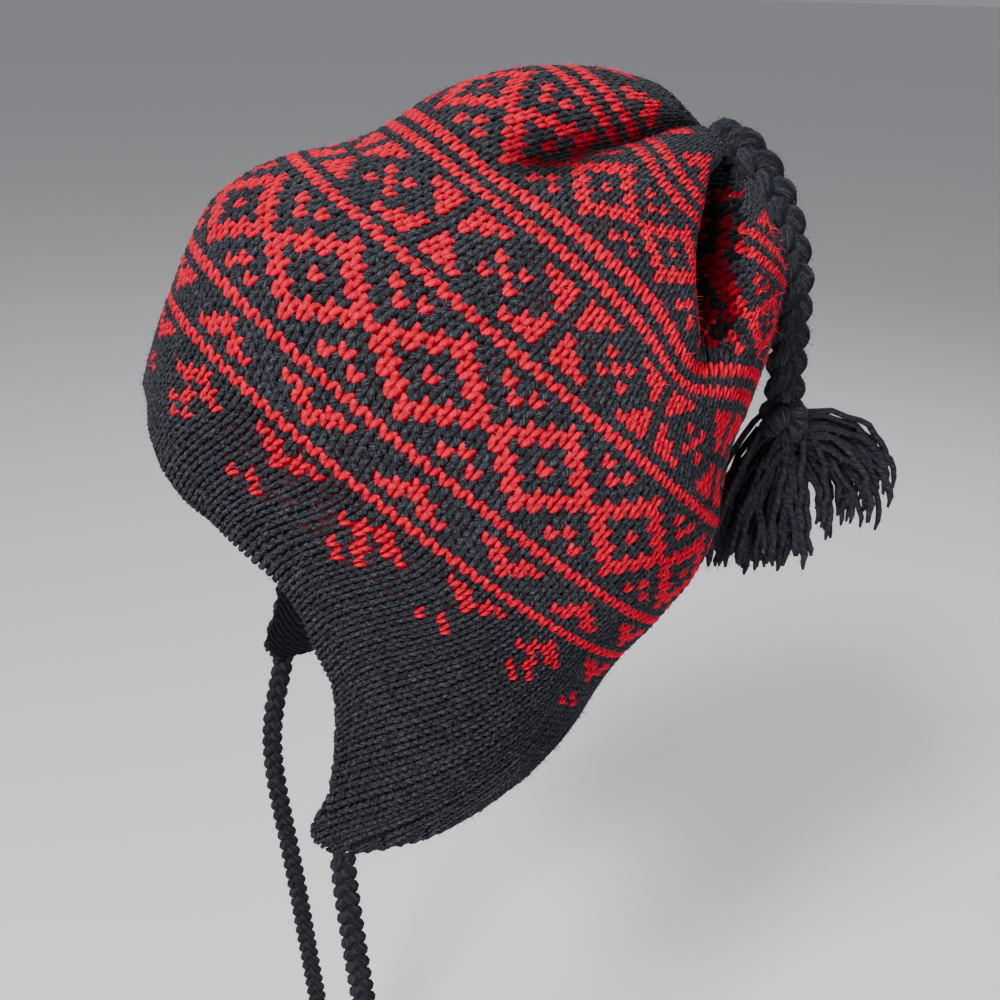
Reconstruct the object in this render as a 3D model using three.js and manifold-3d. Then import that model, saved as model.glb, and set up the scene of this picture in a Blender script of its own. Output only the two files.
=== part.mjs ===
// Knitted earflap hat with a braided tail and tassel on the crown and a braided tie on each flap.
// Millimetres, +Z up. The wearer looks along -Y and the wearer's left is +X.
// The origin is the middle of the head hollow, in the plane of the widest patterned line.
import * as THREE from 'three';
import { mergeVertices } from 'three/addons/utils/BufferGeometryUtils.js';
import Module from 'manifold-3d';

// Driving dimensions
const WALL = 3.5; // two-colour knit, yarn and floats together
const CROWN_TILT = 41.3; // degrees that the crown leans back from upright
const LOWEST_LINE_ROW = -12; // the lowest red line; the plain border hangs below it
const FOLD_FULL_ROW = 34; // knitted row by which the gathers have their full depth
const FOLD_DROP = 0.19; // how far a fold sinks for each millimetre of half depth
const NEAR_ANGLE = 90; // middle of the left side, whose height the crown table adjusts
const REAR_ANGLE = 175; // middle of the rear, the same
const REGION_SPREAD = 45; // degrees either way
const HEAD_MIDDLE_Y = -25; // upright line that the border curves round
const OVAL_SHIFT = 0.056; // radians, keeps the stitches equally wide along the oval
const FOLD_SHARPNESS = 1.5; // 2 gives round valleys, 1 gives creases
const BORDER_UPPER_PULL = 0.35; // share of the border's length that keeps the crown's slope
const BORDER_LOWER_PULL = 0.2; // share of the border's length that hangs upright at the edge
const FLAP_FROM = 100; // between these wale angles that pull fades, and the
const FLAP_TO = 128; // wales run forward along the flap
const NORMAL_BLEND_FROM = 36; // from this row the wall thickness turns towards the axis
const NORMAL_BLEND_TO = 45; // and from this row it lies along the axis
const FINE_FROM = 84; // between these wale angles the mesh is finer
const FINE_TO = 168;
const FINE_STEP = 4;
const COARSE_STEP = 6;
const TAIL_DIAMETER = 15;
const TIE_DIAMETER = 9;
const TAIL_SIDES = 10;
const TIE_SIDES = 8;
const CORD_STEPS = 24;
const KNOT_SIDES = 14;
const KNOT_RINGS = 10;
const LOCK_SIDES = 6;
const LOCK_STEPS = 5;
const LOCK_TIP = 0.25; // length of a lock's blunt tip as a share of its width
const LOCK_START = 0.04; // shares of the way from the knot to the end where a lock starts
const LOCK_MIDDLE = 0.45; // and where it bows
const KNOT_SQUASH = 0.85;
const TUFT_SPREAD = 5;
const TUFT_DROP = 27;
const TUFT_LOCK_WIDTH = 8;

// Crown: knitted row, half depth front to back, half width, height on the axis, shift to the
// back, and how far the near side and the rear stand above that height
const CROWN = [
  { row: -12, depth: 109, width: 79, height: -60.5, back: 4, near: 0, rear: 0 },
  { row: -6, depth: 112, width: 82, height: -42, back: 1.5, near: 0, rear: 0 },
  { row: -2, depth: 113, width: 83, height: -28, back: 0, near: 0, rear: 0 },
  { row: 2, depth: 110, width: 83, height: -14, back: 0, near: 0, rear: 0 },
  { row: 6, depth: 103, width: 82, height: 0, back: 0, near: 0, rear: 0 },
  { row: 10, depth: 92.5, width: 80, height: 12, back: -1, near: -2, rear: 2 },
  { row: 14, depth: 85, width: 77.5, height: 22.5, back: -2, near: -4, rear: 5 },
  { row: 17, depth: 81.5, width: 75, height: 31.5, back: -2, near: -5, rear: 7 },
  { row: 21, depth: 76, width: 71, height: 46.5, back: -3, near: -4, rear: 7 },
  { row: 27, depth: 65, width: 64, height: 67.5, back: -2, near: -5, rear: 3 },
  { row: 31, depth: 55.5, width: 58, height: 80.5, back: 0.5, near: -5, rear: 0 },
  { row: 36, depth: 40.5, width: 45, height: 94, back: 3, near: -6, rear: -8 },
  { row: 41, depth: 27, width: 29, height: 100.5, back: 6, near: -5, rear: -10 },
  { row: 46, depth: 13, width: 14, height: 101, back: 8, near: -2, rear: -6 },
  { row: 50, depth: 5, width: 5, height: 99, back: 8, near: 0, rear: 0 },
];

// Gathers: angle from the front towards the left side, depth as a share of the radius, half
// width in degrees, the knitted row where the fold starts, and degrees it drifts forward per row
const FOLDS = [
  { angle: 34, share: 0.4, spread: 15, start: 14, drift: 0 },
  { angle: 114, share: 0.8, spread: 8, start: 16, drift: 2.2 },
  { angle: 222, share: 0.45, spread: 17, start: 17, drift: 0 },
  { angle: 308, share: 0.4, spread: 17, start: 15, drift: 0 },
];
const DRIFT_FROM_ROW = 21; // a fold drifts from this row to the row of its full depth

// Lower edge of the left half, for each wale angle from the front: brow, cheek, flap tip, nape
const RIM = [
  { wale: 0, x: 0, y: -129, z: -11 },
  { wale: 16, x: 20, y: -129.5, z: -10.5 },
  { wale: 29, x: 38, y: -128, z: -14.5 },
  { wale: 41, x: 50, y: -122, z: -23 },
  { wale: 48.5, x: 57, y: -116, z: -27 },
  { wale: 60, x: 65, y: -107, z: -35 },
  { wale: 68, x: 70, y: -98, z: -44 },
  { wale: 78, x: 74, y: -91, z: -54 },
  { wale: 89, x: 75, y: -86, z: -69 },
  { wale: 100, x: 75, y: -81, z: -84 },
  { wale: 108, x: 74, y: -80, z: -96 },
  { wale: 117, x: 72, y: -80, z: -110 },
  { wale: 124, x: 70, y: -81, z: -123 },
  { wale: 129, x: 69, y: -83, z: -134 },
  { wale: 133, x: 66, y: -88, z: -146 },
  { wale: 138, x: 66, y: -85, z: -154 },
  { wale: 141, x: 70, y: -74, z: -156 },
  { wale: 146, x: 72, y: -49, z: -153 },
  { wale: 152, x: 70, y: -33, z: -148.5 },
  { wale: 158, x: 64, y: -14, z: -143 },
  { wale: 164, x: 52, y: 3, z: -140 },
  { wale: 170, x: 34, y: 18, z: -142 },
  { wale: 180, x: 0, y: 32, z: -145 },
];

// Frame of the crown: its axis, the way to the front across it, and the wearer's left
const tilt = THREE.MathUtils.degToRad(CROWN_TILT);
const AXIS = new THREE.Vector3(0, Math.sin(tilt), Math.cos(tilt));
const FRONT = new THREE.Vector3(0, -Math.cos(tilt), Math.sin(tilt));
const LEFT = new THREE.Vector3(1, 0, 0);

// Smooth curve through one column of a table, with no overshoot between its rows
function smoothColumn(table, key, column, at) {
  const last = table.length - 1;
  const x = Math.min(Math.max(at, table[0][key]), table[last][key]);
  let i = 0;
  while (i < last - 1 && x > table[i + 1][key]) i += 1;
  const step = (k) => table[k + 1][key] - table[k][key];
  const slope = (k) => (table[k + 1][column] - table[k][column]) / step(k);
  const tangent = (k) => {
    if (k === 0) return slope(0);
    if (k === last) return slope(last - 1);
    const before = slope(k - 1);
    const after = slope(k);
    return before * after <= 0 ? 0 : (2 * before * after) / (before + after);
  };
  const h = step(i);
  const u = (x - table[i][key]) / h;
  const start = (1 + 2 * u) * (1 - u) ** 2 * table[i][column] + u * (1 - u) ** 2 * h * tangent(i);
  const end = u * u * (3 - 2 * u) * table[i + 1][column] - u * u * (1 - u) * h * tangent(i + 1);
  return start + end;
}

// Difference between two angles in degrees, from -180 to 180
function turn(a, b) {
  return ((((a - b + 180) % 360) + 360) % 360) - 180;
}

// Rises smoothly from 0 to 1 between two rows
function ramp(row, from, to) {
  return THREE.MathUtils.smoothstep(row, from, to);
}

// Share of a side's height adjustment that a wale takes
function region(wale, middle) {
  return Math.exp(-((turn(wale, middle) / REGION_SPREAD) ** 2));
}

// Point on the outside of the crown for a wale angle in degrees and a knitted row
function crownPoint(wale, row) {
  const drifted = THREE.MathUtils.clamp(row, DRIFT_FROM_ROW, FOLD_FULL_ROW) - DRIFT_FROM_ROW;
  const fold = FOLDS.reduce((sum, { angle, share, spread, start, drift }) => {
    const away = turn(wale, angle - drift * drifted) / spread;
    const across = Math.exp(-(Math.abs(away) ** FOLD_SHARPNESS));
    return sum + share * across * ramp(row, start, FOLD_FULL_ROW);
  }, 0);
  const t = THREE.MathUtils.degToRad(wale);
  const around = t + OVAL_SHIFT * Math.sin(2 * t);
  const depth = smoothColumn(CROWN, 'row', 'depth', row);
  const width = smoothColumn(CROWN, 'row', 'width', row);
  const near = smoothColumn(CROWN, 'row', 'near', row) * region(wale, NEAR_ANGLE);
  const rear = smoothColumn(CROWN, 'row', 'rear', row) * region(wale, REAR_ANGLE);
  const height = smoothColumn(CROWN, 'row', 'height', row) + near + rear;
  const back = smoothColumn(CROWN, 'row', 'back', row);
  return new THREE.Vector3()
    .addScaledVector(FRONT, depth * Math.cos(around) * (1 - fold) - back)
    .addScaledVector(LEFT, width * Math.sin(around) * (1 - fold))
    .addScaledVector(AXIS, height - FOLD_DROP * fold * depth);
}

// Point on the lower edge for a wale angle; the right half mirrors the left
function rimPoint(wale) {
  const side = turn(wale, 0);
  const along = Math.abs(side);
  return new THREE.Vector3(
    Math.sign(side) * smoothColumn(RIM, 'wale', 'x', along),
    smoothColumn(RIM, 'wale', 'y', along),
    smoothColumn(RIM, 'wale', 'z', along),
  );
}

// Angle from the front, distance and height of a point of the left half, about the upright line
function roundHead(point) {
  const forward = HEAD_MIDDLE_Y - point.y;
  const aside = Math.abs(point.x);
  return new THREE.Vector3(Math.atan2(aside, forward), Math.hypot(aside, forward), point.z);
}

// Point between the lowest red line (share 0) and the lower edge (share 1), curving round the head
function borderPoint(wale, share) {
  const top = crownPoint(wale, LOWEST_LINE_ROW);
  const edge = rimPoint(wale);
  const length = top.distanceTo(edge);
  const down = top.clone().sub(crownPoint(wale, LOWEST_LINE_ROW + 1)).normalize();
  const upper = top.clone().addScaledVector(down, BORDER_UPPER_PULL * length);
  const lower = edge.clone().lerp(top, BORDER_LOWER_PULL);
  const upright = 1 - ramp(Math.abs(turn(wale, 0)), FLAP_FROM, FLAP_TO);
  lower.z += BORDER_LOWER_PULL * length * upright;
  const curve = new THREE.CubicBezierCurve3(...[top, upper, lower, edge].map(roundHead));
  const { x: angle, y: distance, z } = curve.getPoint(share);
  const side = turn(wale, 0) < 0 ? -1 : 1;
  const forward = distance * Math.cos(angle);
  return new THREE.Vector3(side * distance * Math.sin(angle), HEAD_MIDDLE_Y - forward, z);
}

// Closed mesh from rings of points, every ring joined to the next and each end closed to a point
function shellGeometry(rings, count, poleStart, poleEnd) {
  const points = rings.flat();
  const triangles = [];
  for (let r = 0; r + 1 < rings.length; r += 1) {
    for (let c = 0; c < count; c += 1) {
      const next = (c + 1) % count;
      const a = r * count + c;
      const b = r * count + next;
      const d = (r + 1) * count + c;
      const e = (r + 1) * count + next;
      triangles.push(a, b, e, a, e, d);
    }
  }
  const start = points.push(poleStart) - 1;
  const end = points.push(poleEnd) - 1;
  const lastRing = (rings.length - 1) * count;
  for (let c = 0; c < count; c += 1) {
    const next = (c + 1) % count;
    triangles.push(start, next, c);
    triangles.push(end, lastRing + c, lastRing + next);
  }
  const geometry = new THREE.BufferGeometry().setFromPoints(points);
  geometry.setIndex(triangles);
  return geometry;
}

// Wale angles of the mesh, closer together over the flaps and the deep fold
function waleAngles() {
  const half = [];
  for (let angle = 0; angle < FINE_FROM; angle += COARSE_STEP) half.push(angle);
  for (let angle = FINE_FROM; angle < FINE_TO; angle += FINE_STEP) half.push(angle);
  for (let angle = FINE_TO; angle < 180; angle += COARSE_STEP) half.push(angle);
  const other = half.filter((angle) => angle > 0).map((angle) => 360 - angle);
  return [...half, 180, ...other.reverse()];
}

// Crown and flaps, one knitted wall with the head hollow open below
function knitBody() {
  const wales = waleAngles();
  const rows = [-12, -6, 0, 6, 11, 17, 21, 25, 29, 33, 37, 41, 45, 49];
  const shares = [1, 0.8, 0.6, 0.4, 0.2];
  const outer = [
    ...shares.map((share) => wales.map((wale) => borderPoint(wale, share))),
    ...rows.map((row) => wales.map((wale) => crownPoint(wale, row))),
  ];
  const top = crownPoint(0, 50).add(crownPoint(180, 50)).multiplyScalar(0.5);
  const inside = top.clone().addScaledVector(AXIS, -WALL);
  const skin = shellGeometry(outer, wales.length, rimPoint(0), top);
  skin.computeVertexNormals();
  const normals = skin.getAttribute('normal');
  const inner = outer.map((ring, r) => {
    const row = rows[r - shares.length] ?? LOWEST_LINE_ROW;
    return ring.map((point, c) => {
      const edgeRing = r === 0 ? 1 : r; // the edge takes the slope of the ring above it
      const normal = new THREE.Vector3().fromBufferAttribute(normals, edgeRing * wales.length + c);
      normal.lerp(AXIS, ramp(row, NORMAL_BLEND_FROM, NORMAL_BLEND_TO)).normalize();
      return point.clone().addScaledVector(normal, -WALL);
    });
  });
  return shellGeometry([...inner.reverse(), ...outer], wales.length, inside, top);
}

// Round section with the given number of sides, for cords
function roundSection(radius, sides) {
  const shape = new THREE.Shape();
  shape.absarc(0, 0, radius, 0, 2 * Math.PI);
  return new THREE.Shape(shape.getPoints(sides).slice(0, sides));
}

// Cord of even thickness along a route
function cordGeometry(route, diameter, sides) {
  const path = new THREE.CatmullRomCurve3(route.map(({ x, y, z }) => new THREE.Vector3(x, y, z)));
  const section = roundSection(diameter / 2, sides);
  return new THREE.ExtrudeGeometry(section, { steps: CORD_STEPS, extrudePath: path });
}

// Tail on the crown: out of the gather, over the back lobe and straight down
const TAIL_ROUTE = [
  { x: 0, y: 72.4, z: 70.3 },
  { x: 0.8, y: 75.8, z: 72 },
  { x: 2.8, y: 80, z: 70.3 },
  { x: 5.5, y: 84.6, z: 66 },
  { x: 8.2, y: 88.8, z: 60.3 },
  { x: 10.5, y: 92.5, z: 53.6 },
  { x: 12.3, y: 95.8, z: 46 },
  { x: 13.6, y: 98.6, z: 37.8 },
  { x: 14.5, y: 100.8, z: 29.5 },
  { x: 15, y: 102.2, z: 21 },
  { x: 15, y: 103, z: 12 },
  { x: 15, y: 103.4, z: 2 },
  { x: 15, y: 103.9, z: -8 },
  { x: 15, y: 104.5, z: -16 },
  { x: 15, y: 105, z: -22 },
];

// Left tie from under the flap tip, straight down
const LEFT_TIE_ROUTE = [
  { x: 68.5, y: -79.5, z: -156.4 },
  { x: 68.5, y: -79.2, z: -164 },
  { x: 68.4, y: -78.6, z: -173 },
  { x: 68.2, y: -77.6, z: -184 },
  { x: 68, y: -76.4, z: -197 },
  { x: 67.8, y: -75, z: -211 },
  { x: 67.6, y: -73.4, z: -226 },
  { x: 67.5, y: -71.7, z: -242 },
  { x: 67.4, y: -70, z: -258 },
  { x: 67.3, y: -68.4, z: -275 },
  { x: 67.2, y: -67, z: -292 },
  { x: 67.1, y: -65.8, z: -309 },
  { x: 67, y: -64.8, z: -326 },
  { x: 67, y: -64, z: -343 },
  { x: 67, y: -63.4, z: -360 },
  { x: 67, y: -63, z: -377 },
  { x: 67, y: -62.8, z: -392 },
  { x: 67, y: -62.7, z: -404 },
];

// Right tie, which swings a little forward
const RIGHT_TIE_ROUTE = [
  { x: -68.5, y: -80.5, z: -156.3 },
  { x: -68.5, y: -81.5, z: -163 },
  { x: -68.5, y: -83.6, z: -173 },
  { x: -68.5, y: -86, z: -185 },
  { x: -68.5, y: -87.7, z: -199 },
  { x: -68.5, y: -87.9, z: -214 },
  { x: -68.5, y: -86.8, z: -230 },
  { x: -68.5, y: -85, z: -247 },
  { x: -68.5, y: -83, z: -264 },
  { x: -68.5, y: -81.1, z: -281 },
  { x: -68.5, y: -79.4, z: -298 },
  { x: -68.5, y: -77.8, z: -315 },
  { x: -68.5, y: -76.2, z: -332 },
  { x: -68.5, y: -74.6, z: -349 },
  { x: -68.5, y: -73, z: -366 },
  { x: -68.5, y: -71.6, z: -382 },
  { x: -68.5, y: -70.6, z: -394 },
  { x: -68.5, y: -70, z: -404 },
];

const manifold = await Module();
manifold.setup();

function toManifold(geometry) {
  const bare = geometry.index ? geometry.clone() : geometry;
  bare.deleteAttribute('normal');
  bare.deleteAttribute('uv');
  const merged = mergeVertices(bare, 1e-4);
  return new manifold.Manifold(new manifold.Mesh({
    numProp: 3,
    vertProperties: new Float32Array(merged.getAttribute('position').array),
    triVerts: new Uint32Array(merged.index.array),
  }));
}

// Joins closed geometries into one solid
function fused(geometries) {
  const solid = geometries.map(toManifold).reduce((sum, next) => sum.add(next));
  const { vertProperties, triVerts } = solid.getMesh();
  const geometry = new THREE.BufferGeometry();
  geometry.setAttribute('position', new THREE.BufferAttribute(new Float32Array(vertProperties), 3));
  geometry.setIndex(new THREE.BufferAttribute(new Uint32Array(triVerts), 1));
  return geometry;
}

// A lock of yarn: a strand along a curve that swells towards a blunt end
function lockGeometry(points, thickness) {
  const path = new THREE.CatmullRomCurve3(points);
  const frames = path.computeFrenetFrames(LOCK_STEPS, false);
  const rings = [];
  for (let s = 0; s <= LOCK_STEPS; s += 1) {
    const along = s / LOCK_STEPS;
    const radius = (thickness / 2) * (0.6 + 1.1 * along - 0.9 * along * along);
    const centre = path.getPointAt(along);
    rings.push(Array.from({ length: LOCK_SIDES }, (_, k) => {
      const a = (k / LOCK_SIDES) * 2 * Math.PI;
      return centre.clone()
        .addScaledVector(frames.normals[s], radius * Math.cos(a))
        .addScaledVector(frames.binormals[s], radius * Math.sin(a));
    }));
  }
  const tip = path.getPointAt(1).addScaledVector(path.getTangentAt(1), LOCK_TIP * thickness);
  return shellGeometry(rings, LOCK_SIDES, path.getPointAt(0), tip);
}

// Tassel locks of the crown: where each ends and how far it bows up and back from a straight line
const TASSEL_LOCKS = [
  { x: 3, y: 86, z: -84, bow: -6, width: 13 },
  { x: 15, y: 82, z: -86, bow: -7, width: 14 },
  { x: 27, y: 87, z: -84, bow: -6, width: 13 },
  { x: 5, y: 97, z: -90, bow: -2, width: 14 },
  { x: 16, y: 96, z: -92, bow: -1, width: 15 },
  { x: 26, y: 99, z: -89, bow: -2, width: 14 },
  { x: 7, y: 109, z: -91, bow: 1, width: 14 },
  { x: 20, y: 109, z: -93, bow: 1, width: 15 },
  { x: 14, y: 120, z: -89, bow: 3, width: 15 },
  { x: 6, y: 130, z: -84, bow: 6, width: 14 },
  { x: 22, y: 133, z: -83, bow: 7, width: 14 },
  { x: 9, y: 145, z: -77, bow: 10, width: 14 },
  { x: 20, y: 148, z: -75, bow: 11, width: 14 },
  { x: 14, y: 158, z: -66, bow: 14, width: 14 },
];

// A knot with its locks, the locks starting inside it
function tassel(knot, knotSize, locks) {
  const ball = new THREE.SphereGeometry(knotSize / 2, KNOT_SIDES, KNOT_RINGS);
  ball.scale(1, 1, KNOT_SQUASH);
  ball.translate(knot.x, knot.y, knot.z);
  const strands = locks.map(({ x, y, z, bow, width }) => {
    const end = new THREE.Vector3(x, y, z);
    const start = knot.clone().lerp(end, LOCK_START);
    const across = new THREE.Vector3(0, knot.z - end.z, end.y - knot.y).normalize();
    const middle = knot.clone().lerp(end, LOCK_MIDDLE).addScaledVector(across, bow);
    return lockGeometry([start, middle, end], width);
  });
  return fused([ball, ...strands]);
}

const CROWN_KNOT = new THREE.Vector3(15, 105.5, -30.6);
const CROWN_KNOT_SIZE = 19;
const LEFT_KNOT = new THREE.Vector3(67, -62.7, -410.4);
const RIGHT_KNOT = new THREE.Vector3(-68.5, -69.8, -410.4);
const TIE_KNOT_SIZE = 14;

// Knot at the end of a tie with a short tuft below it
function tieEnd(knot) {
  const locks = [0, 120, 240].map((angle) => ({
    x: knot.x + TUFT_SPREAD * Math.cos(THREE.MathUtils.degToRad(angle)),
    y: knot.y + TUFT_SPREAD * Math.sin(THREE.MathUtils.degToRad(angle)),
    z: knot.z - TUFT_DROP,
    bow: 0,
    width: TUFT_LOCK_WIDTH,
  }));
  return tassel(knot, TIE_KNOT_SIZE, locks);
}

function yarn(colour) {
  return new THREE.MeshStandardMaterial({ color: colour, roughness: 0.95, metalness: 0 });
}

const hat = new THREE.Group();

function addPiece(name, geometry, material) {
  const mesh = new THREE.Mesh(geometry, material);
  mesh.name = name;
  hat.add(mesh);
}

const red = yarn(0xd32a30);
const charcoal = yarn(0x24262c);

addPiece('knit_body', knitBody(), red);
addPiece('top_braid', cordGeometry(TAIL_ROUTE, TAIL_DIAMETER, TAIL_SIDES), charcoal);
addPiece('crown_tassel', tassel(CROWN_KNOT, CROWN_KNOT_SIZE, TASSEL_LOCKS), charcoal);
addPiece('left_tie', cordGeometry(LEFT_TIE_ROUTE, TIE_DIAMETER, TIE_SIDES), charcoal);
addPiece('right_tie', cordGeometry(RIGHT_TIE_ROUTE, TIE_DIAMETER, TIE_SIDES), charcoal);
addPiece('left_tie_end', tieEnd(LEFT_KNOT), charcoal);
addPiece('right_tie_end', tieEnd(RIGHT_KNOT), charcoal);

export default hat;
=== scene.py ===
# Looks of a knitted earflap hat: stranded knitting stitch by stitch, a braided tail with its
# tassel, and two braided ties. Lengths in the tables are millimetres, as in the part's source.
import math

import bpy
import numpy as np
from mathutils import Matrix, Vector


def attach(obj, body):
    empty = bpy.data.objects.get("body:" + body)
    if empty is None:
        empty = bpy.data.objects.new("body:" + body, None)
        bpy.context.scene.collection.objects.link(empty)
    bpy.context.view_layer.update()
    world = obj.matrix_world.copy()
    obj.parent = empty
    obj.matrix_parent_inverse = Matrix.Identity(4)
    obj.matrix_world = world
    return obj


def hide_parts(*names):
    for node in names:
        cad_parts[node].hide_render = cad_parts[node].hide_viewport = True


MM = 0.001

# Driving dimensions, the same as the part's
WALL = 3.5
CROWN_TILT = math.radians(41.3)
LOWEST_LINE_ROW = -12
FOLD_FULL_ROW = 34
FOLD_DROP = 0.19
NEAR_ANGLE = 90
REAR_ANGLE = 175
REGION_SPREAD = 45
HEAD_MIDDLE_Y = -25
OVAL_SHIFT = 0.056
FOLD_SHARPNESS = 1.5
BORDER_UPPER_PULL = 0.35
BORDER_LOWER_PULL = 0.2
FLAP_FROM = 100
FLAP_TO = 128
TAIL_DIAMETER = 15
TIE_DIAMETER = 9

# Knitting
COLUMNS = 112
FIRST_COLUMN = -76
DIAMOND_WALE = 61.9  # wale angle of column 0, the middle of a diamond
ROW_PITCH = 3.5
LOWEST_PATTERN_ROW = -20
HIGHEST_PATTERN_ROW = 36
EVEN_FROM_ROW = 6  # from here up the rows keep an even pitch on the surface
EVEN_TO_ROW = 50
EVEN_FADE_ROW = 18  # and from here the even pitch fades out
PAIR_FROM_ROW = 40  # in the gather a stitch covers two columns, then four
FOUR_FROM_ROW = 44
LAST_STITCH_ROW = 48
BORDER_PITCH = 2.85
BORDER_SLACK = 1.06  # the border's stitches run this much longer than its straight depth
HEM_RADIUS = 1.9
HEM_TURN = 2.3  # radians that the stitches follow round the hem
HEM_LAST_BEND = math.radians(162)  # past this the hem runs straight on
HEM_SLANT = 1.2  # a hem that crosses more rows than this in one stitch takes narrower ones
HEM_ROWS = 2.5  # stitches this near the edge follow it exactly
HEM_RELIEF = 0.85  # stitches lie flatter over the hem
BORDER_RELIEF = 1.15  # and rounder on the plain border
BORDER_SLIMNESS = 0.8  # whose legs are this much slimmer
STITCH_WIDTH = 5.36
MOST_PARTS = 3  # a wide plain stitch is split into this many at most
EVEN_SHARE = 0.8  # how far the rows keep an even pitch, 0 to 1
NEAR_DIP = 2.2  # rows that the upper lines sink on the near side
NEAR_DIP_WALE = 72
NEAR_DIP_SPREAD = 22
NEAR_DIP_ROWS = (18, 29, 34, 42)  # rows where the dip starts, is full, fades and ends
SHIFT_ROWS = (8, 16, 19, 31)  # and the same for the shifts below
# Where rows shift on the surface beside the rear fold: wale angle, spread, rows
ROW_SHIFTS = [(104, 13, -1.2), (142, 20, 2.6)]
STITCH_SINK = 0.5  # the stitches' middle lies this far below the part's outside

# Row, and how many columns the wales lean to the front there
LEAN = np.array([(-12, 0.2), (0, 0.28), (10, 0.33), (18, 0.45), (24, 0.85), (32, 1.2), (50, 1.2)])

# One leg of a stitch from foot to ear: share of its length, half width in columns, half
# thickness and height of its middle line
LEG = np.array([
    (0, 0, 0, -0.5),
    (0.146, 0.15, 0.6, -0.1),
    (0.5, 0.25, 0.85, 0.2),
    (0.854, 0.25, 0.75, -0.05),
    (1, 0, 0, -0.7),
])
LEG_FOOT = -0.74  # rows from the middle of the stitch
LEG_EAR = 0.9
LEG_FOOT_ASIDE = 0.1  # columns from the middle of the stitch at the foot, and more at the ear
LEG_EAR_ASIDE = 0.24
LEG_CURVE = 0.9
THINNEST_LEG = 0.45  # least and most thickness that a stitch's width gives its legs
THICKEST_LEG = 1.1
# How much the legs differ from each other: place, length, plumpness and height
LEG_WOBBLE = 0.02
LEG_REACH_SPREAD = 0.035
LEG_PLUMP_SPREAD = 0.06
LEG_HEIGHT_SPREAD = 0.06
FOLD_SHADE = (0.16, 0.5)  # between these depths of a gather, shade is painted into the yarn's colour
SHADE_FROM = 2  # rows past the start of a fold where its shade starts, and where it is full
SHADE_FULL = 9
SHADE_TURN = 4.5  # degrees that the shade lies to the far side of a gather of full depth
DEEPEST_FOLD = 0.8
LEG_SHADE = 0.8  # how dark shade is painted on the yarn where a leg turns away into the fabric
FIBRE_WIDTH = 0.11

# Knitted row, half depth, half width, height, shift to the back, near side, rear
CROWN = np.array([
    (-12, 109, 79, -60.5, 4, 0, 0),
    (-6, 112, 82, -42, 1.5, 0, 0),
    (-2, 113, 83, -28, 0, 0, 0),
    (2, 110, 83, -14, 0, 0, 0),
    (6, 103, 82, 0, 0, 0, 0),
    (10, 92.5, 80, 12, -1, -2, 2),
    (14, 85, 77.5, 22.5, -2, -4, 5),
    (17, 81.5, 75, 31.5, -2, -5, 7),
    (21, 76, 71, 46.5, -3, -4, 7),
    (27, 65, 64, 67.5, -2, -5, 3),
    (31, 55.5, 58, 80.5, 0.5, -5, 0),
    (36, 40.5, 45, 94, 3, -6, -8),
    (41, 27, 29, 100.5, 6, -5, -10),
    (46, 13, 14, 101, 8, -2, -6),
    (50, 5, 5, 99, 8, 0, 0),
], dtype=float)

# Fold angle, depth share, half width in degrees, row where it starts, forward drift per row
FOLDS = [
    (34, 0.40, 15, 14, 0),
    (114, 0.80, 8, 16, 2.2),
    (222, 0.45, 17, 17, 0),
    (308, 0.40, 17, 15, 0),
]
DRIFT_FROM_ROW = 21

# Wale angle, and where that wale meets the lower edge
RIM = np.array([
    (0, 0, -129, -11),
    (16, 20, -129.5, -10.5),
    (29, 38, -128, -14.5),
    (41, 50, -122, -23),
    (48.5, 57, -116, -27),
    (60, 65, -107, -35),
    (68, 70, -98, -44),
    (78, 74, -91, -54),
    (89, 75, -86, -69),
    (100, 75, -81, -84),
    (108, 74, -80, -96),
    (117, 72, -80, -110),
    (124, 70, -81, -123),
    (129, 69, -83, -134),
    (133, 66, -88, -146),
    (138, 66, -85, -154),
    (141, 70, -74, -156),
    (146, 72, -49, -153),
    (152, 70, -33, -148.5),
    (158, 64, -14, -143),
    (164, 52, 3, -140),
    (170, 34, 18, -142),
    (180, 0, 32, -145),
], dtype=float)

AXIS = np.array([0, math.sin(CROWN_TILT), math.cos(CROWN_TILT)])
FRONT = np.array([0, -math.cos(CROWN_TILT), math.sin(CROWN_TILT)])
LEFT = np.array([1.0, 0, 0])

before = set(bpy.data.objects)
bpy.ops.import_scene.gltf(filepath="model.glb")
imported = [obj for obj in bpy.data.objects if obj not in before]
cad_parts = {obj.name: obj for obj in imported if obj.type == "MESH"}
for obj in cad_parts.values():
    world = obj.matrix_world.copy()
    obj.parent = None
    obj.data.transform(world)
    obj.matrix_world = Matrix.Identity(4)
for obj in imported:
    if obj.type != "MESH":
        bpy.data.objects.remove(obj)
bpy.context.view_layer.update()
bpy.ops.object.select_all(action="DESELECT")


# Surface of the crown and the border

def smooth_curve(x, y, at):
    """Smooth curve through points, with no overshoot between them."""
    at = np.clip(at, x[0], x[-1])
    i = np.clip(np.searchsorted(x, at, side="left") - 1, 0, len(x) - 2)
    slope = np.diff(y) / np.diff(x)
    product = slope[:-1] * slope[1:]
    total = slope[:-1] + slope[1:]
    inner = np.where(product > 0, 2 * product / np.where(total == 0, 1, total), 0)
    tangent = np.concatenate([[slope[0]], inner, [slope[-1]]])
    h = (x[1:] - x[:-1])[i]
    u = (at - x[i]) / h
    start = (1 + 2 * u) * (1 - u) ** 2 * y[i] + u * (1 - u) ** 2 * h * tangent[i]
    end = u * u * (3 - 2 * u) * y[i + 1] - u * u * (1 - u) * h * tangent[i + 1]
    return start + end


def turn(a, b):
    return (np.asarray(a) - b + 180) % 360 - 180


def ramp(x, low, high):
    u = np.clip((x - low) / (high - low), 0, 1)
    return u * u * (3 - 2 * u)


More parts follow.
